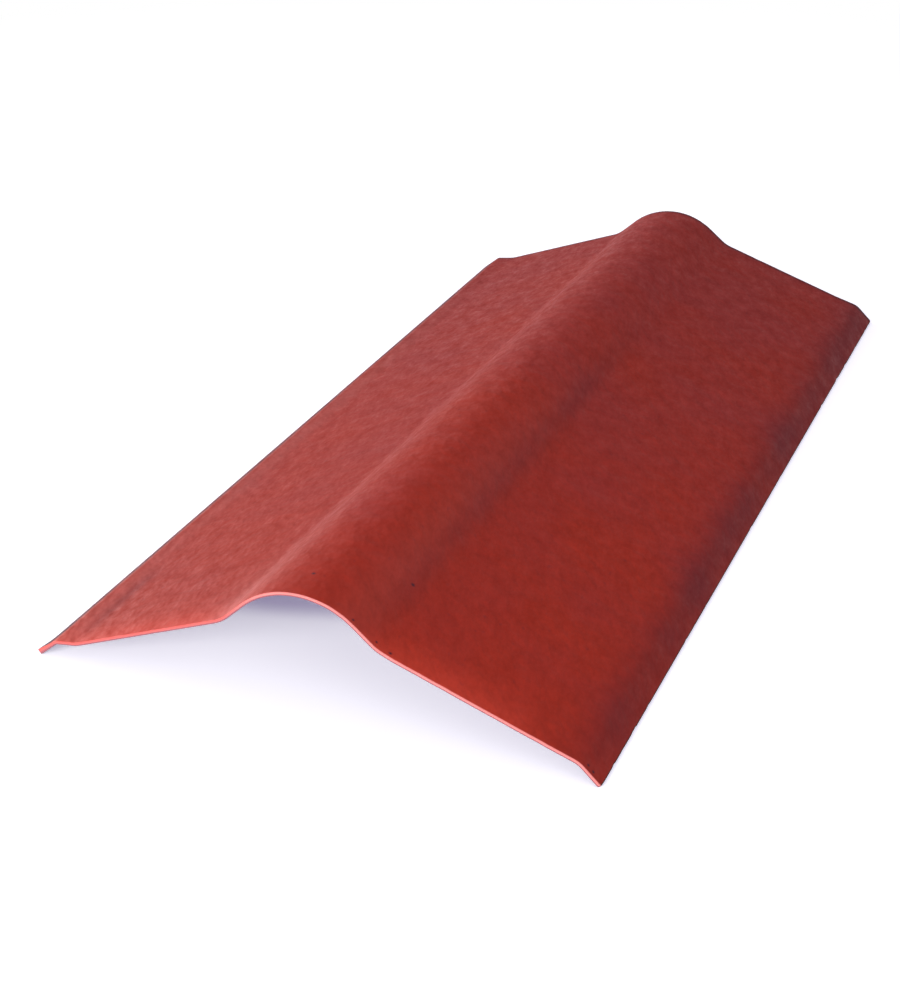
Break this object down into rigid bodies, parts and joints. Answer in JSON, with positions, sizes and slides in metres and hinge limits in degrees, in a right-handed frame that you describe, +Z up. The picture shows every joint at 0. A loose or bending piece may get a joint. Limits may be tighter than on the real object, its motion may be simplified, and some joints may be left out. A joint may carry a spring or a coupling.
{
  "type": "roof ridge cap",
  "caption": "Long bent sheet that covers the ridge of a roof: a round roll between sloping wings, each ending in a flatter rim and a turned-down lip.",
  "frame": {"origin": "on the floor, under the middle of the cap, which stands on its two lips", "axes": "+Y along the ridge, +X across it to the right, +Z up"},
  "size_m": [0.485, 1, 0.1072],
  "materials": {
    "coated_sheet": "matte red coating on pressed bitumen fibre"
  },
  "bodies": {
    "root": {"ridge_cap": "coated_sheet"}
  },
  "joints": []
}
